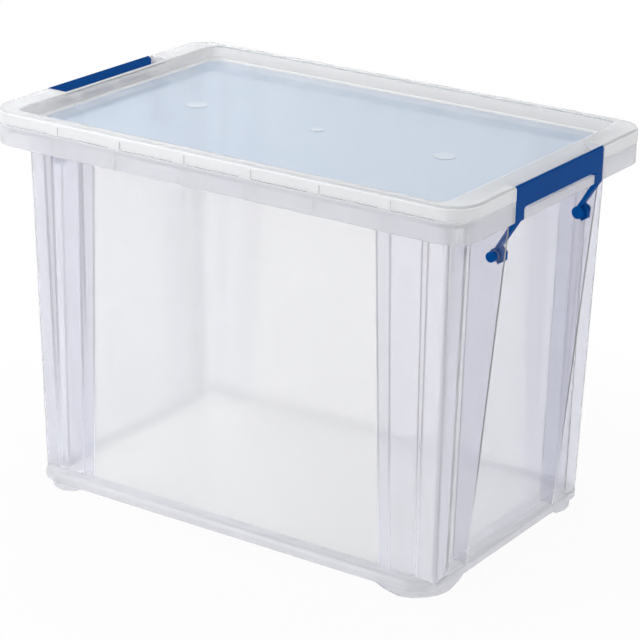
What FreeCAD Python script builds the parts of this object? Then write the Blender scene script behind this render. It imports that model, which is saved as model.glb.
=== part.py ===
import FreeCAD, Part
import math
import os

Vector = FreeCAD.Vector

# Clear plastic storage box: tub, lid and two swinging clips. Millimetres, +Z up.
# X runs along the long side, Y along the short side, and the feet stand on Z = 0.

# overall sizes
box_length = 395.0
box_width = 255.0
box_height = 290.0
rim_corner_radius = 22.0

# tub walls: the posts stand this far inside the rim, and lean in towards the base;
# each step run is the width of a step's slope for each millimetre that it sinks
wall_thickness = 2.0
floor_thickness = 2.5
foot_height = 5.0
rim_overhang_end = 22.1
rim_overhang_side = 18.0
wall_lean_end = 4.6
wall_lean_side = 8.2
post_corner_radius = 4.4
post_front_width = 14.2
post_step_run = 3.0
side_step_top = 2.0
side_step_foot = 0.6
side_panel_top_width = 25.32
side_panel_foot_width = 20.72
panel_step_run = 6.6
centre_step_top = 1.8
centre_step_foot = 1.3
post_end_width = 18.3
end_recess_top_depth = 9.8
end_recess_foot_depth = 8.8

# base ledge and feet
ledge_out_end = 1.85
ledge_out_side = 9.5
ledge_height = 8.5
ledge_thickness = 2.2
ledge_corner_radius = 20.0
ledge_nose_radius = 4.0
ledge_under_chamfer = 1.2
foot_run_long = 43.0
foot_run_short = 47.0
foot_corner_radius = 28.0
foot_inset = 0.8
foot_thickness = 4.0
foot_knee_height = 2.4
foot_knee_run = 6.0
foot_toe_run = 18.0

# rim of the tub
rim_band_height = 13.0
rim_flange_thickness = 2.0
rim_wall = 2.2
rim_inset = 0.3
rim_edge_chamfer = 0.7
bead_gap = 1.2
bead_height = 6.5
bead_thickness = 2.0
rib_thickness = 1.6
rib_pitch = 55.0

# lid
lid_thickness = 2.0
lid_skirt_height = 10.0
lid_seam_gap = 0.3
lid_edge_radius = 2.5
recess_depth = 10.5
recess_border_side = 9.0
recess_border_end = 20.0
recess_corner_radius = 9.0
recess_draft = 1.6
recess_edge_radius = 1.0
lip_height = 3.5
lip_step = 1.3
tab_width = 9.5
tab_end_inset = 8.5
lid_rib_pitch = 45.0
gate_mark_radius = 5.0
gate_ring_radius = 8.0
gate_ring_reach = 106.0
gate_mark_height = 0.4

# clip and the notch it sits in
notch_width = 120.8
clip_side_gap = 1.2
clip_leg_gap = 0.8
clip_bar_gap = 2.2
notch_setback = 6.0
shoulder_run = 12.5
shoulder_drop = 8.2
clip_thickness = 3.5
clip_height = 25.3
clip_bar_height = 16.5
clip_leg_width = 9.9
clip_edge_radius = 1.5
lip_overlap = 2.6
lip_tip_thickness = 1.0
lip_clearance = 0.4
lip_corner_run = 7.0
lip_corner_depth = 4.5
window_corner_radius = 2.0
arm_width = 6.4
arm_outer_inset = 0.9
arm_inner_inset = 3.4
boss_radius = 4.5
heel_width = 4.2

# heel of each arm, as offsets from the pivot
heel_outline = [(0.0, 0.0), (1.8, -6.4), (6.5, -3.3), (6.7, 1.9), (3.2, 6.6)]

# pivot of each clip, measured from the box's end and top
pivot_inset = 14.2
pivot_drop = 49.7
pin_radius = 3.6
pin_clearance = 0.05
pin_stand_out = 4.0

# fins that carry the pins, measured from the box's end and the ledge's edge
fin_thickness = 2.2
fin_top_inset = 3.2
fin_foot_inset = 0.45

# lengths used only while joining and cutting
sink = 0.5
past = 1.0

# derived sizes
half_length = box_length / 2
half_width = box_width / 2
tub_top_length = box_length - 2 * rim_overhang_end
tub_top_width = box_width - 2 * rim_overhang_side
tub_foot_length = tub_top_length - 2 * wall_lean_end
tub_foot_width = tub_top_width - 2 * wall_lean_side
ledge_length = tub_foot_length + 2 * ledge_out_end
ledge_width = tub_foot_width + 2 * ledge_out_side
base_bottom = foot_height
ledge_top = foot_height + ledge_height
panel_top = box_height - recess_depth
rim_seat_height = panel_top - lid_thickness
rim_band_bottom = rim_seat_height - rim_band_height
flange_bottom = rim_seat_height - rim_flange_thickness
lid_skirt_bottom = box_height - lid_skirt_height
rim_half_length = half_length - rim_inset
rim_half_width = half_width - rim_inset
notch_half = notch_width / 2
notch_face = half_length - notch_setback
clip_half = notch_half - clip_side_gap
clip_leg_bottom = box_height - clip_height
pivot_reach = half_length - pivot_inset
pivot_height = box_height - pivot_drop


def box(x0, x1, y0, y1, z0, z1):
    """A plain block between the given limits."""
    return Part.makeBox(x1 - x0, y1 - y0, z1 - z0, Vector(x0, y0, z0))


def rounded_wire(half_x, half_y, radius, z):
    """A rectangle with round corners, centred on the Z axis."""
    edges = []
    quarter = radius * math.sqrt(0.5)
    corners = [(1, 1, 0), (-1, 1, 90), (-1, -1, 180), (1, -1, 270)]
    arcs = []
    for sign_x, sign_y, start in corners:
        cx = sign_x * (half_x - radius)
        cy = sign_y * (half_y - radius)
        first = math.radians(start)
        last = math.radians(start + 90)
        p0 = Vector(cx + radius * math.cos(first), cy + radius * math.sin(first), z)
        p1 = Vector(cx + sign_x * quarter, cy + sign_y * quarter, z)
        p2 = Vector(cx + radius * math.cos(last), cy + radius * math.sin(last), z)
        arcs.append((p0, p1, p2))
    for index in range(4):
        p0, p1, p2 = arcs[index]
        following = arcs[(index + 1) % 4][0]
        edges.append(Part.Arc(p0, p1, p2).toShape())
        edges.append(Part.makeLine(p2, following))
    return Part.Wire(edges)


def rounded_block(half_x, half_y, radius, z0, z1):
    """A straight block with round corners."""
    face = Part.Face(rounded_wire(half_x, half_y, radius, z0))
    return face.extrude(Vector(0, 0, z1 - z0))


def tapered_block(low, high, z0, z1):
    """A block with round corners whose sides lean; low and high are (half x, half y, radius)."""
    wires = [rounded_wire(*low, z0), rounded_wire(*high, z1)]
    return Part.makeLoft(wires, True, True)


def side_prism(points, y0, y1):
    """A block with an outline drawn in X and Z, running along Y."""
    corners = [Vector(x, y0, z) for x, z in points]
    face = Part.Face(Part.makePolygon(corners + corners[:1]))
    return face.extrude(Vector(0, y1 - y0, 0))


def end_prism(points, x0, x1):
    """A block with an outline drawn in Y and Z, running along X."""
    corners = [Vector(x0, y, z) for y, z in points]
    face = Part.Face(Part.makePolygon(corners + corners[:1]))
    return face.extrude(Vector(x1 - x0, 0, 0))


def gap_outline(half, high):
    """Outline of the gap between two feet, whose ends rise from the floor in two slopes."""
    knee = half + foot_knee_run
    toe = half + foot_toe_run
    right = [(toe, -past), (toe, 0), (knee, foot_knee_height), (half, foot_height), (half, high)]
    return right + [(-x, z) for x, z in reversed(right)]


def edges_at(shape, z):
    """The edges that lie flat at one height."""
    return [e for e in shape.Edges if e.BoundBox.ZMin > z - 0.01 and e.BoundBox.ZMax < z + 0.01]


def cylinder_along_y(x, z, radius, y0, y1):
    return Part.makeCylinder(radius, y1 - y0, Vector(x, y0, z), Vector(0, 1, 0))


def both_ends(shape):
    """The shape and its mirror image at the other end of the box."""
    return [shape, shape.mirror(Vector(0, 0, 0), Vector(1, 0, 0))]


def both_sides(shape):
    """The shape and its mirror image on the other long side."""
    return [shape, shape.mirror(Vector(0, 0, 0), Vector(0, 1, 0))]


def level(foot, top, z):
    """A size that changes evenly from the base to the rim."""
    share = (z - base_bottom) / (rim_seat_height - base_bottom)
    return foot + (top - foot) * share


def end_wall_reach(z):
    """Distance of the sunk end wall's outer face from the middle."""
    post = level(tub_foot_length, tub_top_length, z) / 2
    return post - level(end_recess_foot_depth, end_recess_top_depth, z)


def wall_outline(z, inset):
    """Corners of the tub's walls at one height: sunk ends, corner posts and stepped sides."""
    post_x = level(tub_foot_length, tub_top_length, z) / 2
    post_y = level(tub_foot_width, tub_top_width, z) / 2 - inset
    side_step = level(side_step_foot, side_step_top, z)
    centre_step = level(centre_step_foot, centre_step_top, z)
    recess_y = tub_foot_width / 2 - post_end_width + inset
    post_edge = post_x - post_front_width
    side_edge = post_edge - post_step_run * side_step
    panel_edge = side_edge - level(side_panel_foot_width, side_panel_top_width, z)
    run = [
        (end_wall_reach(z) - inset, recess_y),
        (post_x - inset, recess_y),
        (post_x - inset, post_y),
        (post_edge, post_y),
        (side_edge, post_y - side_step),
        (panel_edge, post_y - side_step),
        (panel_edge - panel_step_run * centre_step, post_y - side_step - centre_step),
    ]
    outline = run + [(-x, y) for x, y in reversed(run)]
    outline = outline + [(-x, -y) for x, y in outline]
    return [Vector(x, y, z) for x, y in outline]


def post_corner(edge, inset):
    """True for the upright edges at the outer corners of the posts."""
    middle = edge.CenterOfMass
    reach_x = level(tub_foot_length, tub_top_length, middle.z) / 2 - inset
    reach_y = level(tub_foot_width, tub_top_width, middle.z) / 2 - inset
    upright = edge.BoundBox.ZLength > floor_thickness
    return upright and abs(middle.x) > reach_x - 0.1 and abs(middle.y) > reach_y - 0.1


def wall_block(z0, z1, inset):
    """Leaning block on the walls' outline, with flat faces and round post corners."""
    low = wall_outline(z0, inset)
    high = wall_outline(z1, inset)
    faces = [Part.Face(Part.makePolygon(ring + ring[:1])) for ring in (low[::-1], high)]
    for index in range(len(low)):
        quad = [low[index - 1], low[index], high[index], high[index - 1]]
        faces.append(Part.Face(Part.makePolygon(quad + quad[:1])))
    block = Part.Solid(Part.Shell(faces))
    corners = [edge for edge in block.Edges if post_corner(edge, inset)]
    return block.makeFillet(post_corner_radius - inset, corners)


def base_ledge():
    """Ledge round the base, open below, with a round nose."""
    half_x = ledge_length / 2
    half_y = ledge_width / 2
    outer = rounded_block(half_x, half_y, ledge_corner_radius, base_bottom, ledge_top)
    outer = outer.makeFillet(ledge_nose_radius, edges_at(outer, ledge_top))
    outer = outer.makeChamfer(ledge_under_chamfer, edges_at(outer, base_bottom))
    hollow = rounded_block(
        half_x - ledge_thickness,
        half_y - ledge_thickness,
        ledge_corner_radius - ledge_thickness,
        base_bottom - past,
        ledge_top - ledge_thickness,
    )
    return outer.cut(hollow)


def feet():
    """Four corner feet under the ledge, rounder than its corners."""
    half_x = ledge_length / 2 - foot_inset
    half_y = ledge_width / 2 - foot_inset
    radius = foot_corner_radius
    top = base_bottom + ledge_thickness
    outer = rounded_block(half_x, half_y, radius, 0, top)
    inner = rounded_block(
        half_x - foot_thickness, half_y - foot_thickness, radius - foot_thickness, -past, top + past
    )
    ring = outer.cut(inner)
    long_gap = gap_outline(ledge_length / 2 - foot_run_long, top + past)
    short_gap = gap_outline(ledge_width / 2 - foot_run_short, top + past)
    ring = ring.cut(side_prism(long_gap, -half_width, half_width))
    return ring.cut(end_prism(short_gap, -half_length, half_length))


def rim_block(shrink, z0):
    """Part of the rim that fills the clip's window; shrink leaves a wall round its hollow."""
    half = clip_half - clip_leg_width - clip_leg_gap - shrink
    top = box_height - clip_bar_height - clip_bar_gap - shrink
    return box(notch_face - shrink - past, half_length + 2 * past, -half, half, z0, top)


def rim_notch(grow, z0, z1):
    """Room for the clip in the rim; grow leaves a wall round it."""
    half = notch_half + grow
    notch = box(notch_face - grow, half_length + past, -half, half, z0, z1)
    return notch.cut(rim_block(grow, z0 - past))


def rim():
    """Turned-down rim with a notch at each end, open below."""
    outer = rounded_block(
        rim_half_length, rim_half_width, rim_corner_radius, rim_band_bottom, rim_seat_height
    )
    outer = outer.makeChamfer(rim_edge_chamfer, edges_at(outer, rim_band_bottom))
    lip_top = lid_skirt_bottom - lid_seam_gap
    lip = rounded_block(rim_half_length, rim_half_width, rim_corner_radius, flange_bottom, lip_top)
    lip = lip.cut(
        rounded_block(
            rim_half_length - rim_wall,
            rim_half_width - rim_wall,
            rim_corner_radius - rim_wall,
            flange_bottom - past,
            lip_top + past,
        )
    )
    outer = outer.fuse(lip)
    hollow = rounded_block(
        rim_half_length - rim_wall,
        rim_half_width - rim_wall,
        rim_corner_radius - rim_wall,
        rim_band_bottom - past,
        flange_bottom,
    )
    for notch in both_ends(rim_notch(0, rim_band_bottom - past, lip_top + past)):
        outer = outer.cut(notch)
    for notch in both_ends(rim_notch(rim_wall, rim_band_bottom - 2 * past, lip_top + past)):
        hollow = hollow.cut(notch)
    return outer.cut(hollow)


def beads():
    """Upstanding beads that locate the lid's channel, left out at the corners and behind the clips."""
    grow = lid_thickness + bead_gap
    near_x = half_length - recess_border_end + grow
    near_y = half_width - recess_border_side + grow
    z0 = flange_bottom
    z1 = rim_seat_height + bead_height
    reach_x = half_length - rim_corner_radius
    reach_y = half_width - rim_corner_radius
    gap = notch_half + rim_wall + lid_thickness
    pieces = both_sides(box(-reach_x, reach_x, near_y, near_y + bead_thickness, z0, z1))
    for piece in both_sides(box(near_x, near_x + bead_thickness, gap, reach_y, z0, z1)):
        pieces.extend(both_ends(piece))
    return pieces


def fin():
    """Tapered fin from the base ledge to the rim, with the hole for a clip's pin."""
    z0 = ledge_top - ledge_nose_radius
    z1 = flange_bottom + sink
    outline = [
        (end_wall_reach(z0) - wall_thickness, z0),
        (ledge_length / 2 - fin_foot_inset, z0),
        (half_length - fin_top_inset, z1),
        (end_wall_reach(z1) - wall_thickness, z1),
    ]
    plate = side_prism(outline, notch_half, notch_half + fin_thickness)
    y0 = notch_half - past
    y1 = notch_half + fin_thickness + past
    return plate.cut(cylinder_along_y(pivot_reach, pivot_height, pin_radius + pin_clearance, y0, y1))


def rim_ribs():
    """Ribs under the rim: along the long sides, and behind the clips."""
    ribs = []
    half = rib_thickness / 2
    root_y = tub_foot_width / 2 - wall_thickness
    top = flange_bottom + sink
    for count in range(-3, 3):
        x = (count + 0.5) * rib_pitch
        rib = box(x - half, x + half, root_y, rim_half_width - rim_wall / 2, rim_band_bottom, top)
        ribs.extend(both_sides(rib))
    root_x = tub_foot_length / 2 - end_recess_foot_depth - wall_thickness
    for y in (-rib_pitch / 2, rib_pitch / 2):
        rib = box(root_x, notch_face - rim_wall / 2, y - half, y + half, rim_band_bottom, top)
        ribs.extend(both_ends(rib))
    return ribs


def make_tub():
    tub = wall_block(base_bottom, rim_seat_height, 0)
    pieces = [base_ledge(), feet(), rim()]
    pieces.extend(beads())
    for plate in both_ends(fin()):
        pieces.extend(both_sides(plate))
    pieces.extend(rim_ribs())
    tub = tub.multiFuse(pieces)
    inside = wall_block(base_bottom + floor_thickness, rim_seat_height + past, wall_thickness)
    return tub.cut(inside).removeSplitter()


def shoulder_cut(depth, grow):
    """Space above the lid's sloping shoulder at the right end, moved down by depth."""
    angle = math.atan2(shoulder_drop, shoulder_run)
    start = notch_face - shoulder_run
    slope = shoulder_drop / shoulder_run
    top = box_height - depth / math.cos(angle)
    face = notch_face - depth
    outline = [
        (start, top),
        (face, top - slope * (face - start)),
        (face, lid_skirt_bottom - 2 * past),
        (half_length + past, lid_skirt_bottom - 2 * past),
        (half_length + past, box_height + past),
        (start, box_height + past),
    ]
    half = notch_half + grow
    return side_prism(outline, -half, half)


def recess_sizes(grow, z):
    """Half sizes and corner radius of the sunk panel's wall at one height."""
    lean = recess_draft * (box_height - z) / recess_depth
    half_x = half_length - recess_border_end + grow - lean
    half_y = half_width - recess_border_side + grow - lean
    return half_x, half_y, recess_corner_radius + grow


def lid_block():
    """Outside of the lid's border, with a rounded top edge and the two clip pockets."""
    block = rounded_block(half_length, half_width, rim_corner_radius, lid_skirt_bottom, box_height)
    block = block.makeFillet(lid_edge_radius, edges_at(block, box_height))
    for pocket in both_ends(shoulder_cut(0, 0)):
        block = block.cut(pocket)
    return block


def lid_hollow():
    """Channel inside the border, open below."""
    side_wall = lid_thickness + lip_step
    hollow = rounded_block(
        half_length - lid_thickness,
        half_width - side_wall,
        rim_corner_radius - lid_thickness,
        lid_skirt_bottom - past,
        box_height - lid_thickness,
    )
    for pocket in both_ends(shoulder_cut(lid_thickness, lid_thickness)):
        hollow = hollow.cut(pocket)
    return hollow


def skirt_steps():
    """Set-back strips in the long skirts, between the tabs."""
    tab_reach = half_length - tab_end_inset
    starts = [-tab_reach]
    ends = []
    for count in range(-3, 3):
        x = (count + 0.5) * rib_pitch
        ends.append(x - tab_width / 2)
        starts.append(x + tab_width / 2)
    ends.append(tab_reach)
    strips = []
    z1 = box_height - lip_height
    for x0, x1 in zip(starts, ends):
        strip = box(x0, x1, half_width - lip_step, half_width + past, lid_skirt_bottom - past, z1)
        strips.extend(both_sides(strip))
    return strips


def lid_ribs():
    """Ribs under the sloping shoulders."""
    ribs = []
    half = rib_thickness / 2
    start = half_length - recess_border_end
    under = shoulder_cut(lid_thickness / 2, 0)
    for y in (-lid_rib_pitch, 0, lid_rib_pitch):
        rib = box(start, notch_face - lid_thickness / 2, y - half, y + half, panel_top, box_height)
        ribs.extend(both_ends(rib.cut(under)))
    return ribs


def gate_marks():
    """Small moulding marks on the panel."""
    low = panel_top - lid_thickness / 2
    tall = lid_thickness / 2 + gate_mark_height
    marks = [Part.makeCylinder(gate_mark_radius, tall, Vector(0, 0, low))]
    for x in (-gate_ring_reach, gate_ring_reach):
        marks.append(Part.makeCylinder(gate_ring_radius, tall, Vector(x, 0, low)))
    return marks


def recess_edge(edge):
    """True for the edges round the mouth of the sunk panel."""
    middle = edge.CenterOfMass
    reach_x = half_length - recess_border_end
    reach_y = half_width - recess_border_side
    inside = abs(middle.x) < reach_x + 0.1 and abs(middle.y) < reach_y + 0.1
    near = abs(middle.x) > reach_x - recess_corner_radius or abs(middle.y) > reach_y - recess_corner_radius
    return inside and near


def make_lid():
    tray_bottom = panel_top - lid_thickness
    low = recess_sizes(lid_thickness, tray_bottom)
    high = recess_sizes(lid_thickness, box_height)
    tray = tapered_block(low, high, tray_bottom, box_height)
    for pocket in both_ends(shoulder_cut(0, 0)):
        tray = tray.cut(pocket)
    lid = lid_block().cut(lid_hollow()).fuse(tray)
    lid = lid.multiFuse(lid_ribs())
    low = recess_sizes(0, panel_top)
    high = recess_sizes(0, box_height)
    recess = tapered_block(low, high, panel_top, box_height)
    lid = lid.cut(recess)
    mouth = [e for e in edges_at(lid, box_height) if recess_edge(e)]
    lid = lid.makeFillet(recess_edge_radius, mouth)
    for strip in skirt_steps():
        lid = lid.cut(strip)
    return lid.multiFuse(gate_marks()).removeSplitter()


def arc_points(cx, cz, radius, start, end, steps):
    """Points along a small corner round, angles in degrees."""
    points = []
    for count in range(steps + 1):
        angle = math.radians(start + (end - start) * count / steps)
        points.append((cx + radius * math.cos(angle), cz + radius * math.sin(angle)))
    return points


def clip_plate():
    """Front plate of the clip, with its two legs and the lip that holds the lid's shoulder."""
    angle = math.atan2(shoulder_drop, shoulder_run)
    slope = shoulder_drop / shoulder_run
    start = notch_face - shoulder_run
    lift = lip_clearance / math.cos(angle)
    inner = half_length - clip_thickness
    tip = notch_face - lip_overlap
    under_tip = box_height - slope * (tip - start) + lift
    under_inner = box_height - slope * (inner - start) + lift
    r = clip_edge_radius
    outline = [(inner, clip_leg_bottom), (half_length, clip_leg_bottom)]
    outline += arc_points(half_length - r, box_height - r, r, 0, 90, 4)
    outline += [(tip, under_tip + lip_tip_thickness), (tip, under_tip), (inner, under_inner)]
    return side_prism(outline, -clip_half, clip_half)


def lip_corner():
    """Slanting cut that narrows the clip's lip at its end, on the +Y side."""
    tip = notch_face - lip_overlap
    slope = lip_corner_run / lip_corner_depth
    outer = clip_half + past
    points = [
        (tip - past, clip_half - lip_corner_run - past * slope),
        (tip + lip_corner_depth + past / slope, outer),
        (tip - past, outer),
    ]
    corners = [Vector(x, y, clip_leg_bottom) for x, y in points]
    face = Part.Face(Part.makePolygon(corners + corners[:1]))
    return face.extrude(Vector(0, 0, clip_height + past))


def clip_window():
    """Opening between the clip's legs, with round upper corners, where the rim shows."""
    half = clip_half - clip_leg_width
    top = box_height - clip_bar_height
    window = box(notch_face, half_length + past, -half, half, clip_leg_bottom - past, top)
    ends = [e for e in edges_at(window, top) if e.BoundBox.YLength < 0.1]
    return window.makeFillet(window_corner_radius, ends)


def arm_outline():
    """Slanting arm from a leg's foot to the pivot, drawn in X and Z."""
    return [
        (half_length - clip_thickness, clip_leg_bottom),
        (half_length, clip_leg_bottom),
        (pivot_reach - arm_outer_inset, pivot_height),
        (pivot_reach - arm_inner_inset, pivot_height),
    ]


def clip_arm():
    """One arm with its boss, pin and narrow heel, under the outer part of the +Y leg."""
    y0 = clip_half - arm_width
    arm = side_prism(arm_outline(), y0, clip_half)
    boss = cylinder_along_y(pivot_reach, pivot_height, boss_radius, y0, clip_half)
    heel_points = [(pivot_reach + x, pivot_height + z) for x, z in heel_outline]
    heel = side_prism(heel_points, clip_half - heel_width, clip_half)
    pin_end = notch_half + fin_thickness + pin_stand_out
    pin = cylinder_along_y(pivot_reach, pivot_height, pin_radius, y0 + past, pin_end)
    return arm.multiFuse([boss, heel, pin])


def make_clip():
    """The right-hand clip, closed."""
    clip = clip_plate().cut(clip_window())
    for corner in both_sides(lip_corner()):
        clip = clip.cut(corner)
    clip = clip.multiFuse(both_sides(clip_arm()))
    return clip.removeSplitter()


def main():
    os.makedirs("parts", exist_ok=True)
    right_clip = make_clip()
    shapes = {
        "tub": make_tub(),
        "lid": make_lid(),
        "right_clip": right_clip,
        "left_clip": right_clip.mirror(Vector(0, 0, 0), Vector(1, 0, 0)),
    }
    for node, shape in shapes.items():
        solids = shape.Solids
        print(node, "solids", len(solids), "valid", shape.isValid(), "volume", round(shape.Volume))
        if len(solids) != 1:
            raise ValueError(node + " is not one solid")
        solids[0].exportStep("parts/" + node + ".step")


main()
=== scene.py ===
import math

import bmesh
import bpy
from bpy.props import FloatProperty, FloatVectorProperty, PointerProperty
from mathutils import Matrix, Vector


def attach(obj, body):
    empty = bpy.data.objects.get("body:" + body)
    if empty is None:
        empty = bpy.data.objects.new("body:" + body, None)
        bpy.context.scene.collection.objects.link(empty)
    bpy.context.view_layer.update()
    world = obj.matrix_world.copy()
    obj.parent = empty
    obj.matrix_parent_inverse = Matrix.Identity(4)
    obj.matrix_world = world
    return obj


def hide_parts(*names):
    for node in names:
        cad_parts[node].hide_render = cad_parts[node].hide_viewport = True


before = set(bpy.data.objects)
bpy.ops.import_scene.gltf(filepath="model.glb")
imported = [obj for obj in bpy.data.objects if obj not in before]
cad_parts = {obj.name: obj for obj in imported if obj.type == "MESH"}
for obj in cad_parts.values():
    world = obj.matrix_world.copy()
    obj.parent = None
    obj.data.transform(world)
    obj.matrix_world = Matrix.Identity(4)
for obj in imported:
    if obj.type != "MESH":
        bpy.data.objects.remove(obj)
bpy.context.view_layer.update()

bl_info = {
    "name": "Clear Storage Box",
    "version": (1, 0, 0),
    "blender": (4, 5, 0),
    "location": "View3D > Sidebar > Storage Box",
    "description": "Dresses the packed storage box with milky plastic, blue clips and a white stage",
    "category": "Object",
}

# Finishes of the clear mouldings. Plain ones have no milk inside; in fading ones the painted shade of
# the steps runs out at the foot.
TUB_ZONES = ("wall", "end", "fin", "floor", "band", "step", "shade", "line")
LID_ZONES = ("panel", "mark", "border", "skirt", "rise", "mouth", "seam")
PLAIN_ZONES = ("panel", "mark", "step", "shade", "line", "fin")
FADING_ZONES = ("step", "shade", "line")

# Where the finishes of the tub begin and end, in metres.
FLOOR_TOP = 0.0078
LEDGE_TOP = 0.0145
RIM_FOOT = 0.262
RIM_INNER_X = 0.193
RIM_INNER_Y = 0.123
FIN_NEAR_Y = 0.060
FIN_FAR_Y = 0.063
END_X = 0.120

# Where the finishes of the lid begin and end, in metres.
MARK_X = 0.13
MARK_Y = 0.02
MARK_FOOT = 0.2796
PANEL_TOP = 0.2806
PANEL_X = 0.17
PANEL_Y = 0.11
RISE_X = 0.1795
RISE_Y = 0.1205
RISE_FOOT = 0.2795
RISE_TOP = 0.2885

# How a face lies, by one part of its normal.
LEVEL = 0.9
SIDEWAYS = 0.9
FIN_FACING = 0.95
UPRIGHT = 0.5
OVERHANG = -0.1
STEP_SLOPE = 0.1
POST_STEP_SLOPE = 0.25
INWARD = -0.001

# Rounding of the soft copies. Angles are in degrees, areas in square metres.
LARGE_FACE = 0.0007
MERGE_DISTANCE = 0.000002
FLAT_ANGLE = 0.4
STEP_ANGLES = (4.0, 25.0)
CORNER_ANGLES = (35.0, 180.0)
SHARP_ANGLE = 40.0

# Plastic. Noise scales are per metre.
PLASTIC_IOR = 1.49
TINT_KEPT = 0.85
FLOW_STRETCH = (1.0, 1.0, 0.05)
FLOW_SCALE = 70.0
CLOUD_SCALE = 8.0
GRAIN_SCALE = 900.0
PATCH_SCALE = 45.0
CLIP_GRAIN_SCALE = 1800.0
CLIP_SHINE = 0.025

# Stage.
FIBRE_SCALE = 300.0
FIBRE_SHADE = 0.985
SHADOW_CORE = 0.4
SHADOW_WHITE = 0.90
WHITE = (1.0, 1.0, 1.0, 1.0)
ROOM_COLOUR = (0.97, 0.98, 1.0, 1.0)
LAMP_TARGET = (0.0, 0.0, 0.15)
KEY_PLACE = (-0.95, -0.85, 1.0)
FILL_PLACE = (-1.2, 0.8, 0.9)
BOUNCES = 24
CLEAR_BOUNCES = 48


def colour(name, description, default):
    """A colour setting."""
    return FloatVectorProperty(
        name=name,
        description=description,
        default=default,
        subtype="COLOR",
        size=3,
        min=0.0,
        max=1.0,
    )


def length(name, description, default):
    """A length setting, in metres."""
    return FloatProperty(
        name=name,
        description=description,
        default=default,
        unit="LENGTH",
        subtype="DISTANCE",
        min=0.0,
        precision=5,
    )


def share(name, description, default):
    """A setting between nothing and all."""
    return FloatProperty(
        name=name, description=description, default=default, subtype="FACTOR", min=0.0, max=1.0
    )


class TubSettings(bpy.types.PropertyGroup):
    """Finish of the tub: clear walls and fins, a milkier floor, rim and base, and steps darkened with
    painted shade.
    """

    wall_tint: colour("Wall tint", "Colour of the walls", (0.988, 0.985, 1.0))
    wall_clear: share("Wall clearness", "Share of the light that passes one face of a wall", 0.72)
    wall_rough: share("Wall roughness", "Roughness of the walls", 0.10)
    end_tint: colour(
        "End tint", "Colour of the ends and of the posts at their sides", (0.88, 0.885, 0.955)
    )
    end_clear: share(
        "End clearness", "Share of the light that passes one face of an end or post", 0.80
    )
    end_rough: share("End roughness", "Roughness of the ends and posts", 0.10)
    fin_tint: colour("Fin tint", "Colour of the fins that carry the clips", (0.84, 0.838, 0.89))
    fin_clear: share("Fin clearness", "Share of the light that passes one face of a fin", 0.985)
    fin_rough: share("Fin roughness", "Roughness of the fins", 0.05)
    floor_tint: colour("Floor tint", "Colour of the tub's floor", (0.905, 0.905, 0.908))
    floor_clear: share(
        "Floor clearness", "Share of the light that passes one face of the floor", 0.35
    )
    floor_rough: share("Floor roughness", "Roughness of the floor", 0.20)
    band_tint: colour(
        "Rim and base tint", "Colour of the rim, the base ledge and the feet", (0.775, 0.775, 0.815)
    )
    band_clear: share(
        "Rim and base clearness", "Share of the light that passes one of their faces", 0.52
    )
    band_rough: share(
        "Rim and base roughness", "Roughness of the rim, the base ledge and the feet", 0.18
    )
    # Painted shade: the slopes beside the middle panels and beside the posts take darker tints than the
    # walls.
    step_tint: colour(
        "Step tint", "Colour of the slopes beside the middle panels", (0.827, 0.827, 0.879)
    )
    step_clear: share(
        "Step clearness", "Share of the light that passes one face of such a slope", 0.78
    )
    step_rough: share("Step roughness", "Roughness of those slopes", 0.08)
    shade_tint: colour(
        "Post step tint", "Colour of the steeper slopes beside the posts", (0.827, 0.82, 0.865)
    )
    shade_clear: share(
        "Post step clearness", "Share of the light that passes one face of such a slope", 0.78
    )
    shade_rough: share("Post step roughness", "Roughness of those slopes", 0.08)
    # Painted shade: dark lines on the steps' rounded edges.
    line_tint: colour("Step edge tint", "Colour of the steps' rounded edges", (0.50, 0.49, 0.55))
    line_clear: share("Step edge clearness", "Share of the light that passes a step's edge", 0.55)
    line_rough: share("Step edge roughness", "Roughness of the steps' edges", 0.08)
    lamp_pass: share("Lamp light", "Share of the lamps' light that passes one face", 0.94)
    milk_depth: length("Milk depth", "How far light spreads inside the milky plastic", 0.003)
    edge_round: length("Edge round", "Width of the rounded edges", 0.00035)
    step_round: length("Step round", "Width of the steps' rounded edges", 0.0006)
    # Heights over which the steps' painted shade fades in.
    fade_low: length("Fade foot", "Height at which the steps' darker tint starts", 0.025)
    fade_high: length("Fade head", "Height above which the steps have their full tint", 0.13)


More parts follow.
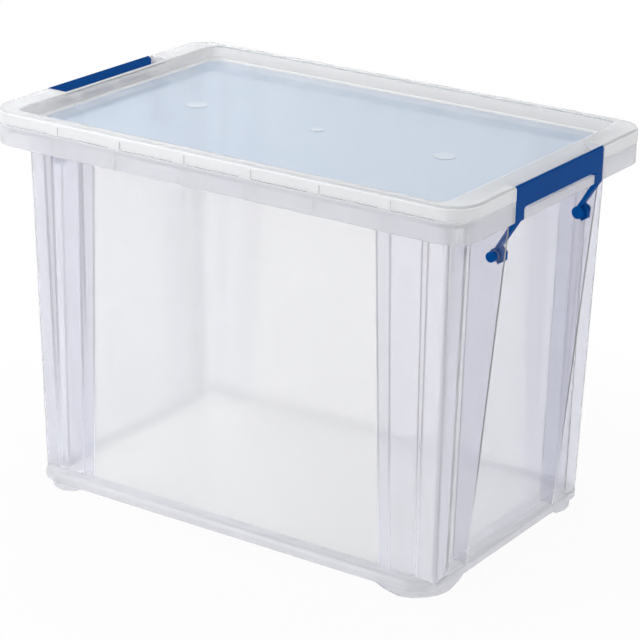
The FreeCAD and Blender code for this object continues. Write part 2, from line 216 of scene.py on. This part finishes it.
class LidSettings(bpy.types.PropertyGroup):
    """Finish of the lid: a bluish sunk panel in a whiter border, with a painted highlight and painted
    shade on the panel's edges.
    """

    panel_tint: colour("Panel tint", "Colour of the sunk panel", (0.585, 0.69, 0.82))
    panel_clear: share(
        "Panel clearness", "Share of the light that passes one face of the panel", 0.70
    )
    panel_rough: share("Panel roughness", "Roughness of the panel", 0.12)
    mark_tint: colour(
        "Mark tint", "Colour of the moulding marks on the panel", (0.758, 0.818, 0.879)
    )
    mark_clear: share("Mark clearness", "Share of the light that passes one face of a mark", 0.66)
    mark_rough: share("Mark roughness", "Roughness of the marks", 0.12)
    # The border's upright faces take a whiter tint than its top, by facing: painted light.
    border_tint: colour("Border tint", "Colour of the border's top", (0.93, 0.965, 1.0))
    border_clear: share(
        "Border clearness", "Share of the light that passes one face of the border's top", 0.72
    )
    border_rough: share("Border roughness", "Roughness of the border's top", 0.12)
    skirt_tint: colour("Skirt tint", "Colour of the border's upright faces", (0.965, 0.98, 1.0))
    skirt_clear: share("Skirt clearness", "Share of the light that passes one upright face", 0.50)
    skirt_rough: share("Skirt roughness", "Roughness of the upright faces", 0.12)
    rise_tint: colour(
        "Panel wall tint", "Colour of the wall round the panel", (0.965, 0.955, 0.985)
    )
    rise_clear: share(
        "Panel wall clearness", "Share of the light that passes one face of that wall", 0.70
    )
    rise_rough: share("Panel wall roughness", "Roughness of that wall", 0.12)
    # Painted shade: the dark line along the recess's upper edge on the long sides.
    mouth_tint: colour(
        "Panel mouth tint",
        "Colour of the recess's upper edge along the long sides",
        (0.654, 0.697, 0.749),
    )
    mouth_clear: share(
        "Panel mouth clearness", "Share of the light that passes that upper edge", 0.55
    )
    mouth_rough: share("Panel mouth roughness", "Roughness of that upper edge", 0.12)
    # Painted highlight: the bright white line at the panel's foot and along the recess's upper edge on
    # the short sides.
    seam_tint: colour(
        "Panel edge tint", "Colour of the round edge at the panel's foot", (0.97, 0.98, 1.0)
    )
    seam_clear: share("Panel edge clearness", "Share of the light that passes that edge", 0.25)
    seam_rough: share("Panel edge roughness", "Roughness of that edge", 0.12)
    lamp_pass: share("Lamp light", "Share of the lamps' light that passes one face", 0.93)
    milk_depth: length("Milk depth", "How far light spreads inside the milky plastic", 0.003)
    edge_round: length("Edge round", "Width of the rounded edges", 0.0004)
    seam_round: length("Panel edge round", "Width of the round edge at the panel's foot", 0.0014)


class ClipSettings(bpy.types.PropertyGroup):
    """Finish of the two clips."""

    blue: colour("Blue", "Colour of the clips", (0.0005, 0.067, 0.297))
    worn_blue: colour("Worn blue", "Colour of the rubbed patches", (0.002, 0.083, 0.33))
    gloss_roughness: share("Roughness", "Roughness of the moulded face", 0.38)
    edge_round: length("Edge round", "Radius of the moulded edges", 0.0008)


class StageSettings(bpy.types.PropertyGroup):
    """Floor, light and camera."""

    floor: colour("Floor", "Colour of the floor", (0.95, 0.95, 0.95))
    floor_radius: length("Floor radius", "Radius of the floor", 6.0)
    shadow_reach: length("Shadow reach", "Radius inside which the floor shows shadow", 0.48)
    room_light: FloatProperty(
        name="Room light", description="Strength of the even light", default=0.62, min=0.0
    )
    see_through: share(
        "White seen through", "Share of plain white in what shows through the plastic", 0.85
    )
    key_power: FloatProperty(
        name="Key power", description="Power of the main lamp", default=11.5, unit="POWER"
    )
    fill_power: FloatProperty(
        name="Fill power", description="Power of the soft lamp", default=6.0, unit="POWER"
    )
    key_size: length("Key size", "Width of the main lamp", 0.9)
    fill_size: length("Fill size", "Width of the soft lamp", 1.2)
    camera_place: FloatVectorProperty(
        name="Camera place",
        description="Where the camera stands",
        default=(0.96217, -1.44290, 0.77925),
        subtype="TRANSLATION",
        unit="LENGTH",
    )
    camera_azimuth: FloatProperty(
        name="Azimuth",
        description="Turn of the camera round the box",
        default=math.radians(33.527),
        unit="ROTATION",
    )
    camera_elevation: FloatProperty(
        name="Elevation",
        description="Height of the camera as an angle",
        default=math.radians(20.359),
        unit="ROTATION",
    )
    camera_roll: FloatProperty(
        name="Roll", description="Tilt of the picture", default=math.radians(1.249), unit="ROTATION"
    )
    camera_lens: FloatProperty(
        name="Lens", description="Focal length in millimetres", default=142.7, min=1.0
    )


class BoxSettings(bpy.types.PropertyGroup):
    """All settings of the storage box."""

    tub: PointerProperty(type=TubSettings, name="Tub", description="Finish of the tub")
    lid: PointerProperty(type=LidSettings, name="Lid", description="Finish of the lid")
    clip: PointerProperty(type=ClipSettings, name="Clips", description="Finish of the clips")
    stage: PointerProperty(type=StageSettings, name="Stage", description="Floor, light and camera")


def opaque(rgb):
    """A colour with full alpha, as sockets take it."""
    return (rgb[0], rgb[1], rgb[2], 1.0)


def paler(rgb):
    """A colour part of the way to white."""
    return tuple(1.0 - TINT_KEPT * (1.0 - value) for value in rgb)


def new_tree(name):
    """An empty material with its output, as (material, node tree, output)."""
    material = bpy.data.materials.new(name)
    material.use_nodes = True
    tree = material.node_tree
    tree.nodes.clear()
    output = tree.nodes.new("ShaderNodeOutputMaterial")
    return material, tree, output


def add(tree, kind, inputs=None, **settings):
    """One node, with its settings and its sockets' values or links."""
    made = tree.nodes.new(kind)
    for key, value in settings.items():
        setattr(made, key, value)
    for key, value in (inputs or {}).items():
        if isinstance(value, bpy.types.NodeSocket):
            tree.links.new(value, made.inputs[key])
        else:
            made.inputs[key].default_value = value
    return made


def sum_of(tree, *terms):
    """Adds up sockets and numbers."""
    total = terms[0]
    for term in terms[1:]:
        total = add(tree, "ShaderNodeMath", {0: total, 1: term}, operation="ADD").outputs[0]
    return total


def times(tree, a, b):
    """Multiplies two sockets or numbers."""
    return add(tree, "ShaderNodeMath", {0: a, 1: b}, operation="MULTIPLY").outputs[0]


def noise(tree, vector, scale, detail):
    """Noise around a middle of one half."""
    inputs = {"Vector": vector, "Scale": scale, "Detail": detail}
    return add(tree, "ShaderNodeTexNoise", inputs).outputs[0]


def spread(tree, value, low, high):
    """Maps the middle of a noise to the range low to high."""
    ramp = add(
        tree,
        "ShaderNodeMapRange",
        {"Value": value, "From Min": 0.3, "From Max": 0.7, "To Min": low, "To Max": high},
    )
    return ramp.outputs[0]


def blend_colours(tree, factor, first, second):
    """Mixes two colours, each a colour or a socket."""
    ends = [end if isinstance(end, bpy.types.NodeSocket) else opaque(end) for end in (first, second)]
    inputs = {0: factor, 6: ends[0], 7: ends[1]}
    return add(tree, "ShaderNodeMix", inputs, data_type="RGBA").outputs[2]


def larger(tree, a, b):
    """The larger of two sockets."""
    return add(tree, "ShaderNodeMath", {0: a, 1: b}, operation="MAXIMUM").outputs[0]


def fade_to_foot(tree, place, body, foot, finish):
    """Turns a painted shade tint into the foot's tint towards the base, where the steps run out."""
    height = add(tree, "ShaderNodeSeparateXYZ", {0: place}).outputs[2]
    rise = add(
        tree,
        "ShaderNodeMapRange",
        {
            "Value": height,
            "From Min": finish.fade_low,
            "From Max": finish.fade_high,
            "To Min": 0.0,
            "To Max": 1.0,
        },
        interpolation_type="SMOOTHSTEP",
    ).outputs[0]
    return blend_colours(tree, rise, foot, body)


def milky_plastic(part, zone, finish, foot=None):
    """See-through moulded plastic of one zone of a part, with faint flow lines and an uneven gloss.

    Light from the lamps and from other surfaces goes straight through, so that the inside is lit.
    """
    material, tree, output = new_tree(part + "_" + zone + "_plastic")
    tint = getattr(finish, zone + "_tint")
    gloss = getattr(finish, zone + "_rough")
    place = add(tree, "ShaderNodeTexCoord").outputs["Object"]
    drawn = add(tree, "ShaderNodeMapping", {"Vector": place, "Scale": FLOW_STRETCH}).outputs[0]
    flow = noise(tree, drawn, FLOW_SCALE, 3.0)
    clouds = noise(tree, place, CLOUD_SCALE, 4.0)
    grain = noise(tree, place, GRAIN_SCALE, 2.0)
    streaky = sum_of(tree, times(tree, flow, 0.5), times(tree, clouds, 0.5))
    body = blend_colours(tree, spread(tree, streaky, 0.0, 1.0), tint, paler(tint))
    if foot:
        body = fade_to_foot(tree, place, body, foot, finish)
    rough = spread(tree, grain, gloss - 0.02, gloss + 0.03)
    fine = add(tree, "ShaderNodeBump", {"Height": flow, "Strength": 0.05, "Distance": 0.0005})
    plastic = add(
        tree,
        "ShaderNodeBsdfPrincipled",
        {
            "Base Color": body,
            "Roughness": rough,
            "Transmission Weight": getattr(finish, zone + "_clear"),
            "IOR": PLASTIC_IOR,
            "Normal": fine.outputs[0],
            "Subsurface Weight": 0.0 if zone in PLAIN_ZONES else 1.0,
            "Subsurface Radius": (1.0, 1.0, 1.0),
            "Subsurface Scale": finish.milk_depth,
        },
    )
    passed = finish.lamp_pass
    window = add(tree, "ShaderNodeBsdfTransparent", {"Color": (passed, passed, passed, 1.0)})
    path = add(tree, "ShaderNodeLightPath")
    lamp_ray = larger(tree, path.outputs["Is Shadow Ray"], path.outputs["Is Diffuse Ray"])
    inputs = {0: lamp_ray, 1: plastic.outputs[0], 2: window.outputs[0]}
    mix = add(tree, "ShaderNodeMixShader", inputs)
    tree.links.new(mix.outputs[0], output.inputs["Surface"])
    return material


def clip_plastic(finish):
    """Solid blue moulded plastic with a satin face, rubbed a little paler in patches."""
    material, tree, output = new_tree("clip_blue_plastic")
    place = add(tree, "ShaderNodeTexCoord").outputs["Object"]
    patches = noise(tree, place, PATCH_SCALE, 5.0)
    grain = noise(tree, place, CLIP_GRAIN_SCALE, 3.0)
    tint = blend_colours(tree, spread(tree, patches, 0.0, 0.7), finish.blue, finish.worn_blue)
    rough = sum_of(
        tree,
        spread(tree, grain, finish.gloss_roughness - 0.05, finish.gloss_roughness + 0.05),
        spread(tree, patches, -0.04, 0.04),
    )
    fine = add(tree, "ShaderNodeBump", {"Height": grain, "Strength": 0.12, "Distance": 0.0002})
    plastic = add(
        tree,
        "ShaderNodeBsdfPrincipled",
        {
            "Base Color": tint,
            "Roughness": rough,
            "Normal": fine.outputs[0],
            "IOR": PLASTIC_IOR,
            "Specular IOR Level": CLIP_SHINE,
        },
    )
    tree.links.new(plastic.outputs[0], output.inputs["Surface"])
    return material


def white_share(tree, through):
    """How white the surroundings look: all white when seen or mirrored, in part through plastic."""
    path = add(tree, "ShaderNodeLightPath")
    direct = larger(tree, path.outputs["Is Camera Ray"], path.outputs["Is Glossy Ray"])
    passed = times(tree, path.outputs["Is Transmission Ray"], through)
    return larger(tree, direct, passed)


def floor_paper(settings):
    """Pale floor that keeps the box's shadow and fades to plain white further out."""
    material, tree, output = new_tree("floor_paper")
    place = add(tree, "ShaderNodeTexCoord").outputs["Object"]
    far = add(tree, "ShaderNodeVectorMath", {0: place}, operation="LENGTH").outputs["Value"]
    fade = add(
        tree,
        "ShaderNodeMapRange",
        {
            "Value": far,
            "From Min": settings.shadow_reach * SHADOW_CORE,
            "From Max": settings.shadow_reach,
            "To Min": SHADOW_WHITE,
            "To Max": 1.0,
        },
        interpolation_type="SMOOTHSTEP",
    ).outputs[0]
    seen = white_share(tree, settings.see_through)
    fibres = noise(tree, place, FIBRE_SCALE, 3.0)
    shaded = [value * FIBRE_SHADE for value in settings.floor]
    tint = blend_colours(tree, spread(tree, fibres, 0.0, 1.0), shaded, settings.floor)
    paper = add(tree, "ShaderNodeBsdfDiffuse", {"Color": tint, "Roughness": 0.9})
    white = add(tree, "ShaderNodeEmission", {"Color": WHITE, "Strength": 1.0})
    inputs = {0: times(tree, seen, fade), 1: paper.outputs[0], 2: white.outputs[0]}
    mix = add(tree, "ShaderNodeMixShader", inputs)
    tree.links.new(mix.outputs[0], output.inputs["Surface"])
    return material


def merged_copy(node):
    """A copy of a CAD node's mesh with its doubles merged and its flat faces whole."""
    shape = bmesh.new()
    shape.from_mesh(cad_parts[node].data)
    bmesh.ops.remove_doubles(shape, verts=shape.verts, dist=MERGE_DISTANCE)
    bmesh.ops.dissolve_limit(
        shape,
        angle_limit=math.radians(FLAT_ANGLE),
        use_dissolve_boundaries=False,
        verts=shape.verts,
        edges=shape.edges,
    )
    return shape


def edges_between(shape, angles, least_area):
    """The edges whose two faces meet between two angles, and have at least a given area."""
    low, high = (math.radians(angle) for angle in angles)
    found = []
    for edge in shape.edges:
        if edge.is_manifold and low < edge.calc_face_angle() <= high:
            if min(face.calc_area() for face in edge.link_faces) >= least_area:
                found.append(edge)
    return found


def round_edges(shape, edges, width, segments):
    """Rounds edges and returns the new faces."""
    made = bmesh.ops.bevel(
        shape,
        geom=edges,
        offset=width,
        offset_type="OFFSET",
        affect="EDGES",
        segments=segments,
        profile=0.5,
        clamp_overlap=True,
        material=-1,
    )
    return made["faces"]


def finished_piece(shape, name):
    """An object from a rounded shape, shaded so that its large faces stay flat."""
    for face in shape.faces:
        face.smooth = True
    for edge in shape.edges:
        edge.smooth = not (edge.is_manifold and edge.calc_face_angle() > math.radians(SHARP_ANGLE))
    mesh = bpy.data.meshes.new(name)
    shape.to_mesh(mesh)
    shape.free()
    if "custom_normal" in mesh.attributes:
        mesh.attributes.remove(mesh.attributes["custom_normal"])
    piece = bpy.data.objects.new(name, mesh)
    bpy.context.scene.collection.objects.link(piece)
    shading = piece.modifiers.new("flat_faces", "WEIGHTED_NORMAL")
    shading.mode = "FACE_AREA"
    shading.weight = 100
    shading.keep_sharp = True
    return piece


def place_piece(piece, node, body, materials):
    """Gives a piece its finishes, its body and the node that it stands for."""
    for material in materials:
        piece.data.materials.append(material)
    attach(piece, body)
    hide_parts(node)


def tub_zone(face):
    """Finish of one face of the tub, by its place and the way it faces."""
    middle = face.calc_center_median()
    large = face.calc_area() > LARGE_FACE
    x, y, z = abs(middle.x), abs(middle.y), middle.z
    along, across = abs(face.normal.x), abs(face.normal.y)
    if z < FLOOR_TOP and large and abs(face.normal.z) > LEVEL:
        return "floor"
    if z < LEDGE_TOP:
        return "band"
    if z > RIM_FOOT:
        return "band" if x > RIM_INNER_X or y > RIM_INNER_Y else "wall"
    if across > FIN_FACING and FIN_NEAR_Y < y < FIN_FAR_Y:
        return "fin"
    # The slopes take darker tints: painted shade.
    if large and across > SIDEWAYS and along > STEP_SLOPE:
        return "shade" if along > POST_STEP_SLOPE else "step"
    return "end" if x > END_X else "wall"


def lid_zone(face):
    """Finish of one face of the lid, by its place and the way it faces."""
    middle = face.calc_center_median()
    x, y, z = abs(middle.x), abs(middle.y), middle.z
    if x < MARK_X and y < MARK_Y and MARK_FOOT < z < PANEL_TOP:
        return "mark"
    if z < PANEL_TOP and abs(face.normal.z) > LEVEL:
        return "panel"
    inward = face.normal.x * middle.x + face.normal.y * middle.y < INWARD
    if not inward or x > RISE_X or y > RISE_Y or z < RISE_FOOT:
        # Upright faces take a whiter tint than the top: painted light.
        return "border" if abs(face.normal.z) > UPRIGHT else "skirt"
    if z < RISE_TOP:
        return "rise"
    # Painted highlight on the upper edge along the short sides, painted shade along the long sides.
    return "seam" if abs(face.normal.x) > abs(face.normal.y) else "mouth"


def panel_foot(edge):
    """True for an edge between the sunk panel and the wall round it."""
    middle = (edge.verts[0].co + edge.verts[1].co) / 2
    inside = abs(middle.x) < PANEL_X and abs(middle.y) < PANEL_Y
    if inside or middle.z >= PANEL_TOP or not edge.is_manifold:
        return False
    steep, flat = sorted(face.normal.z for face in edge.link_faces)
    return OVERHANG < steep < UPRIGHT and flat > LEVEL


class BOX_OT_tub(bpy.types.Operator):
    """Dress the tub: one clear moulding with its rim, fins, base ledge and feet"""

    bl_idname = "storage_box.tub"
    bl_label = "Tub"

    def execute(self, context):
        finish = context.scene.storage_box.tub
        shape = merged_copy("tub")
        for face in shape.faces:
            face.material_index = TUB_ZONES.index(tub_zone(face))
        steps = edges_between(shape, STEP_ANGLES, LARGE_FACE)
        # The steps' rounded edges take a dark tint: painted shade.
        for face in round_edges(shape, steps, finish.step_round, 3):
            face.material_index = TUB_ZONES.index("line")
        round_edges(shape, edges_between(shape, CORNER_ANGLES, 0.0), finish.edge_round, 2)
        piece = finished_piece(shape, "tub_shell")
        materials = []
        for zone in TUB_ZONES:
            foot = finish.end_tint if zone in FADING_ZONES else None
            materials.append(milky_plastic("tub", zone, finish, foot))
        place_piece(piece, "tub", "tub", materials)
        return {"FINISHED"}


class BOX_OT_lid(bpy.types.Operator):
    """Dress the lid: one clear moulding with its sunk panel and clip pockets"""

    bl_idname = "storage_box.lid"
    bl_label = "Lid"

    def execute(self, context):
        finish = context.scene.storage_box.lid
        shape = merged_copy("lid")
        for face in shape.faces:
            face.material_index = LID_ZONES.index(lid_zone(face))
        feet = [edge for edge in shape.edges if panel_foot(edge)]
        # The panel's rounded foot takes a bright white tint: painted highlight.
        for face in round_edges(shape, feet, finish.seam_round, 3):
            face.material_index = LID_ZONES.index("seam")
        round_edges(shape, edges_between(shape, CORNER_ANGLES, 0.0), finish.edge_round, 2)
        piece = finished_piece(shape, "lid_shell")
        materials = [milky_plastic("lid", zone, finish) for zone in LID_ZONES]
        place_piece(piece, "lid", "lid", materials)
        return {"FINISHED"}


class BOX_OT_clips(bpy.types.Operator):
    """Dress the two swinging clips"""

    bl_idname = "storage_box.clips"
    bl_label = "Clips"

    def execute(self, context):
        finish = context.scene.storage_box.clip
        material = clip_plastic(finish)
        for side in ("left_clip", "right_clip"):
            shape = merged_copy(side)
            round_edges(shape, edges_between(shape, CORNER_ANGLES, 0.0), finish.edge_round, 2)
            piece = finished_piece(shape, side + "_moulding")
            place_piece(piece, side, side, [material])
        return {"FINISHED"}


def make_floor(settings):
    """Round floor under the feet."""
    shape = bmesh.new()
    bmesh.ops.create_circle(
        shape, cap_ends=True, cap_tris=False, segments=96, radius=settings.floor_radius
    )
    mesh = bpy.data.meshes.new("floor")
    shape.to_mesh(mesh)
    shape.free()
    mesh.materials.append(floor_paper(settings))
    floor = bpy.data.objects.new("floor", mesh)
    bpy.context.scene.collection.objects.link(floor)


def make_lamp(name, place, target, size, power):
    """Square soft lamp turned towards a point, not itself seen or mirrored."""
    lamp = bpy.data.lights.new(name, "AREA")
    lamp.shape = "SQUARE"
    lamp.size = size
    lamp.energy = power
    holder = bpy.data.objects.new(name, lamp)
    holder.location = place
    holder.rotation_euler = (Vector(target) - Vector(place)).to_track_quat("-Z", "Y").to_euler()
    holder.visible_camera = False
    holder.visible_glossy = False
    bpy.context.scene.collection.objects.link(holder)


def make_world(settings):
    """Even room light, with a white backdrop for what is seen directly, mirrored or through plastic."""
    world = bpy.data.worlds.new("studio")
    world.use_nodes = True
    tree = world.node_tree
    tree.nodes.clear()
    seen = white_share(tree, settings.see_through)
    inputs = {"Color": ROOM_COLOUR, "Strength": settings.room_light}
    room = add(tree, "ShaderNodeBackground", inputs)
    white = add(tree, "ShaderNodeBackground", {"Color": WHITE, "Strength": 1.0})
    mix = add(tree, "ShaderNodeMixShader", {0: seen, 1: room.outputs[0], 2: white.outputs[0]})
    output = tree.nodes.new("ShaderNodeOutputWorld")
    tree.links.new(mix.outputs[0], output.inputs["Surface"])
    bpy.context.scene.world = world


def make_camera(settings):
    """Camera at the photograph's angle."""
    azimuth = settings.camera_azimuth
    elevation = settings.camera_elevation
    back = Vector(
        (
            math.sin(azimuth) * math.cos(elevation),
            -math.cos(azimuth) * math.cos(elevation),
            math.sin(elevation),
        )
    )
    level = Vector((math.cos(azimuth), math.sin(azimuth), 0.0))
    upright = back.cross(level)
    right = level * math.cos(settings.camera_roll) + upright * math.sin(settings.camera_roll)
    up = upright * math.cos(settings.camera_roll) - level * math.sin(settings.camera_roll)
    turn = Matrix((right, up, back)).transposed()
    data = bpy.data.cameras.new("camera")
    data.sensor_width = 36.0
    data.lens = settings.camera_lens
    data.clip_start = 0.05
    data.clip_end = 50.0
    camera = bpy.data.objects.new("camera", data)
    camera.rotation_euler = turn.to_euler()
    camera.location = settings.camera_place
    bpy.context.scene.collection.objects.link(camera)
    bpy.context.scene.camera = camera


class BOX_OT_stage(bpy.types.Operator):
    """Set the floor, the lamps, the room light and the camera"""

    bl_idname = "storage_box.stage"
    bl_label = "Stage"

    def execute(self, context):
        settings = context.scene.storage_box.stage
        make_floor(settings)
        make_world(settings)
        make_lamp("key_lamp", KEY_PLACE, LAMP_TARGET, settings.key_size, settings.key_power)
        make_lamp("fill_lamp", FILL_PLACE, LAMP_TARGET, settings.fill_size, settings.fill_power)
        make_camera(settings)
        context.scene.view_settings.view_transform = "Standard"
        context.scene.cycles.max_bounces = BOUNCES
        context.scene.cycles.transmission_bounces = BOUNCES
        context.scene.cycles.transparent_max_bounces = CLEAR_BOUNCES
        return {"FINISHED"}


class BOX_PT_sidebar(bpy.types.Panel):
    """Settings and steps of the storage box"""

    bl_idname = "BOX_PT_sidebar"
    bl_label = "Storage Box"
    bl_space_type = "VIEW_3D"
    bl_region_type = "UI"
    bl_category = "Storage Box"

    def draw(self, context):
        settings = context.scene.storage_box
        for name in ("tub", "lid", "clip", "stage"):
            group = getattr(settings, name)
            column = self.layout.column(heading=name.capitalize())
            for field in group.bl_rna.properties:
                if field.identifier not in ("rna_type", "name"):
                    column.prop(group, field.identifier)
        for step in STEPS:
            self.layout.operator(step.bl_idname)


STEPS = (BOX_OT_tub, BOX_OT_lid, BOX_OT_clips, BOX_OT_stage)
GROUPS = (TubSettings, LidSettings, ClipSettings, StageSettings, BoxSettings)
CLASSES = GROUPS + STEPS + (BOX_PT_sidebar,)


def register():
    """Register the classes and hang the settings on the scene."""
    for item in CLASSES:
        bpy.utils.register_class(item)
    bpy.types.Scene.storage_box = PointerProperty(type=BoxSettings)


def unregister():
    """Take the settings and the classes out again."""
    del bpy.types.Scene.storage_box
    for item in reversed(CLASSES):
        bpy.utils.unregister_class(item)


def main():
    """Run every step."""
    register()
    bpy.ops.storage_box.tub()
    bpy.ops.storage_box.lid()
    bpy.ops.storage_box.clips()
    bpy.ops.storage_box.stage()


if __name__ == "__main__":
    main()
